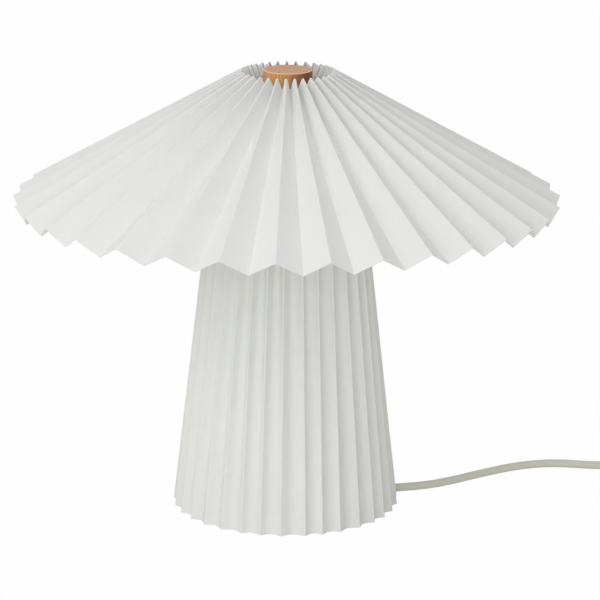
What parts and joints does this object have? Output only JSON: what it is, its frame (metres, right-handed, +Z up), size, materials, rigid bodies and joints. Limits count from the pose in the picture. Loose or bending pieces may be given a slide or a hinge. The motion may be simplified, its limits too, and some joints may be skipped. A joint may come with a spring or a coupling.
{
  "type": "table lamp",
  "caption": "Table lamp with a wide pleated paper cone shade over a tapering pleated paper sleeve, a wooden knob on top and a white flex.",
  "frame": {"origin": "middle of the face that the lamp stands on, on the axis of the stem", "axes": "+Z up along the stem, -Y to the front, +X to the side that the flex leaves on"},
  "size_m": [0.6102, 0.4198, 0.3454],
  "materials": {
    "shade_paper": "matte white pleated paper",
    "sleeve_paper": "matte white pleated paper",
    "frame_wire": "white powder coat",
    "plate_steel": "white powder coat",
    "stem_steel": "white powder coat",
    "zinc_steel": "bright zinc plate",
    "brass": "turned brass",
    "wood": "oiled hardwood",
    "rubber": "soft black rubber",
    "holder_plastic": "white heat-proof plastic",
    "ceramic": "glazed steatite",
    "bulb_opal": "opal white",
    "bulb_plastic": "white",
    "black_glass": "black insulator",
    "flex": "matte white sheath",
    "lead_insulation": "brown and blue insulation",
    "accessory_plastic": "white",
    "tie_fabric": "black hook-and-loop tape"
  },
  "bodies": {
    "stand": {"foot_pads": "rubber", "base_plate": "plate_steel", "stem_flange": "stem_steel", "flange_screws": "zinc_steel", "stem_tube": "stem_steel", "stem_nipple": "zinc_steel", "stem_nut": "zinc_steel", "sleeve_paper": "sleeve_paper", "sleeve_lower_ring": "frame_wire", "sleeve_upper_ring": "frame_wire", "sleeve_spider": "frame_wire", "harp_saddle": "zinc_steel", "harp_wire": "frame_wire", "finial_stud": "brass", "holder_cap": "holder_plastic", "holder_skirt": "holder_plastic", "holder_insert": "ceramic", "holder_screw_shell": "brass", "holder_contact": "brass", "lead_wires": "lead_insulation", "inner_flex": "flex", "cord_bush": "accessory_plastic", "cord_clamp": "accessory_plastic", "clamp_screws": "zinc_steel", "cord_run": "flex", "cord_link": "flex", "cord_coil": "flex", "cord_end": "flex", "cord_tie": "tie_fabric", "plug_body": "accessory_plastic", "plug_pins": "brass", "switch_base": "accessory_plastic", "switch_cover": "accessory_plastic", "switch_screws": "zinc_steel", "switch_terminals": "brass"},
    "rocker": {"switch_rocker": "accessory_plastic"},
    "bulb": {"bulb_globe": "bulb_opal", "bulb_collar": "bulb_plastic", "bulb_cap": "zinc_steel", "bulb_insulator": "black_glass", "bulb_contact": "zinc_steel"},
    "shade": {"shade_paper": "shade_paper", "shade_top_ring": "frame_wire", "shade_hoop": "frame_wire", "shade_ribs": "frame_wire", "shade_spider": "frame_wire"},
    "washer": {"shade_washer": "rubber"},
    "knob": {"knob": "wood", "knob_insert": "brass"}
  },
  "joints": [
    {"name": "shade_lift", "type": "slide", "parent": "stand", "child": "shade", "axis": [0, 0, 1], "range_m": [0, 0.12]},
    {"name": "knob_rise", "type": "slide", "parent": "shade", "child": "washer", "axis": [0, 0, 1], "range_m": [0, 0.008]},
    {"name": "knob_turn", "type": "hinge", "parent": "washer", "child": "knob", "pos_m": [0, 0, 0.3206], "axis": [0, 0, 1], "range_deg": [0, 2885]},
    {"name": "bulb_turn", "type": "hinge", "parent": "stand", "child": "bulb", "pos_m": [0, 0, 0.24], "axis": [0, 0, 1], "range_deg": [0, 1260]},
    {"name": "rocker_tilt", "type": "hinge", "parent": "stand", "child": "rocker", "pos_m": [0.3204, 0.0625, 0.0126], "axis": [-0.2079, -0.9781, 0], "range_deg": [-16, 0]}
  ],
  "couplings": [
    {"joint": "knob_turn", "follows": "knob_rise", "rad_per_m": 6283.2}
  ]
}
